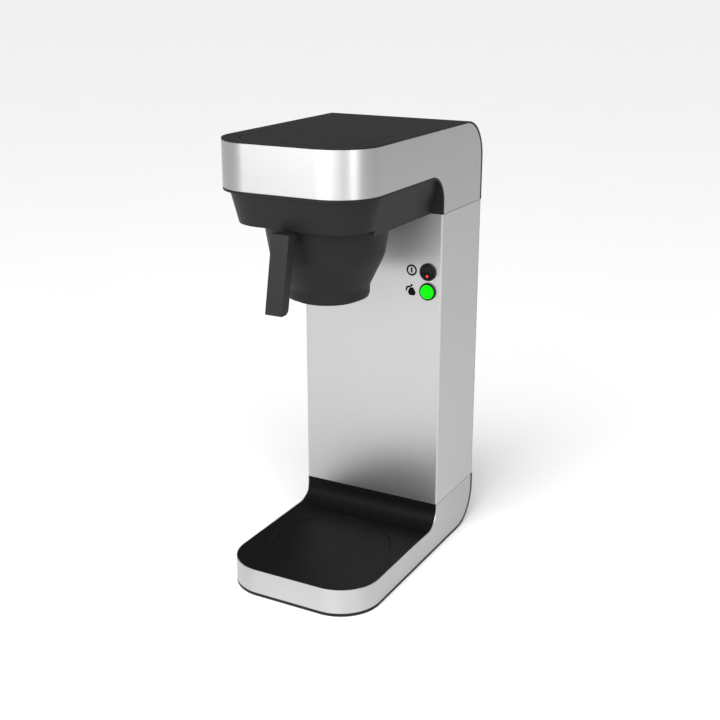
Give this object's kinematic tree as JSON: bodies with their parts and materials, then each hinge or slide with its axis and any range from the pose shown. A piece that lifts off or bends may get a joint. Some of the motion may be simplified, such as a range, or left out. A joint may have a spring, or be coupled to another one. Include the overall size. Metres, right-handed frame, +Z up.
{
  "type": "commercial coffee brewer",
  "caption": "Tall manual-fill filter coffee brewer: tank in the head, heater in the column, slide-out brew basket over a base for an airpot.",
  "frame": {"origin": "on the surface it stands on, under the middle of the whole machine's box", "axes": "+Z up, the front faces -Y, +X to the right as seen from the front"},
  "size_m": [0.208, 0.3707, 0.59],
  "materials": {
    "brushed_stainless": "fine satin brushing",
    "black_moulding": "fine moulded texture, soft sheen",
    "grey_moulding": "fine moulded texture",
    "bright_steel": "bright",
    "galvanised_steel": "galvanised",
    "cast_aluminium": "as cast",
    "tank_moulding": "natural polypropylene",
    "silicone": "smooth",
    "circuit_board": "solder mask",
    "switch_moulding": "polished",
    "brass_contacts": "plain",
    "red_lens": "lit lens",
    "green_lens": "lit lens",
    "foot_rubber": "moulded"
  },
  "bodies": {
    "housing": {"head_band": "brushed_stainless", "column_wrap": "brushed_stainless", "base_band": "brushed_stainless", "column_back": "brushed_stainless", "top_cap": "black_moulding", "head_skirt": "black_moulding", "base_top": "black_moulding", "base_pan": "black_moulding", "basket_rails": "black_moulding", "spray_head": "bright_steel", "back_screws": "bright_steel", "base_screws": "bright_steel", "riser_tube": "bright_steel", "thermal_cutouts": "bright_steel", "water_tank": "tank_moulding", "tank_strainer": "bright_steel", "tank_hose": "silicone", "heater_hose": "silicone", "check_valve": "tank_moulding", "heater": "cast_aluminium", "heater_bracket": "galvanised_steel", "inner_frame": "galvanised_steel", "board_bracket": "galvanised_steel", "board_standoffs": "tank_moulding", "control_board": "circuit_board", "terminal_block": "tank_moulding", "power_inlet": "switch_moulding", "inlet_pins": "brass_contacts", "rocker_housing": "switch_moulding", "button_housing": "switch_moulding", "switch_nuts": "switch_moulding", "feet": "foot_rubber"},
    "basket": {"basket_bowl": "black_moulding", "basket_handle": "grey_moulding", "handle_screws": "bright_steel"},
    "flap": {"fill_flap": "black_moulding", "flap_pins": "bright_steel"},
    "rocker": {"power_rocker": "switch_moulding", "neon_lens": "red_lens"},
    "button": {"brew_button": "green_lens"}
  },
  "joints": [
    {"name": "basket_slide", "type": "slide", "parent": "housing", "child": "basket", "axis": [0, -1, 0], "range_m": [0, 0.19]},
    {"name": "fill_flap_hinge", "type": "hinge", "parent": "housing", "child": "flap", "pos_m": [0, -0.04655, 0.5854], "axis": [-1, 0, 0], "range_deg": [0, 95]},
    {"name": "power_rocker_tilt", "type": "hinge", "parent": "housing", "child": "rocker", "pos_m": [0.0847, 0.05795, 0.4018], "axis": [1, 0, 0], "range_deg": [0, 16]},
    {"name": "brew_button_press", "type": "slide", "parent": "housing", "child": "button", "axis": [0, 1, 0], "range_m": [0, 0.0025], "stiffness_N_per_m": 400}
  ]
}
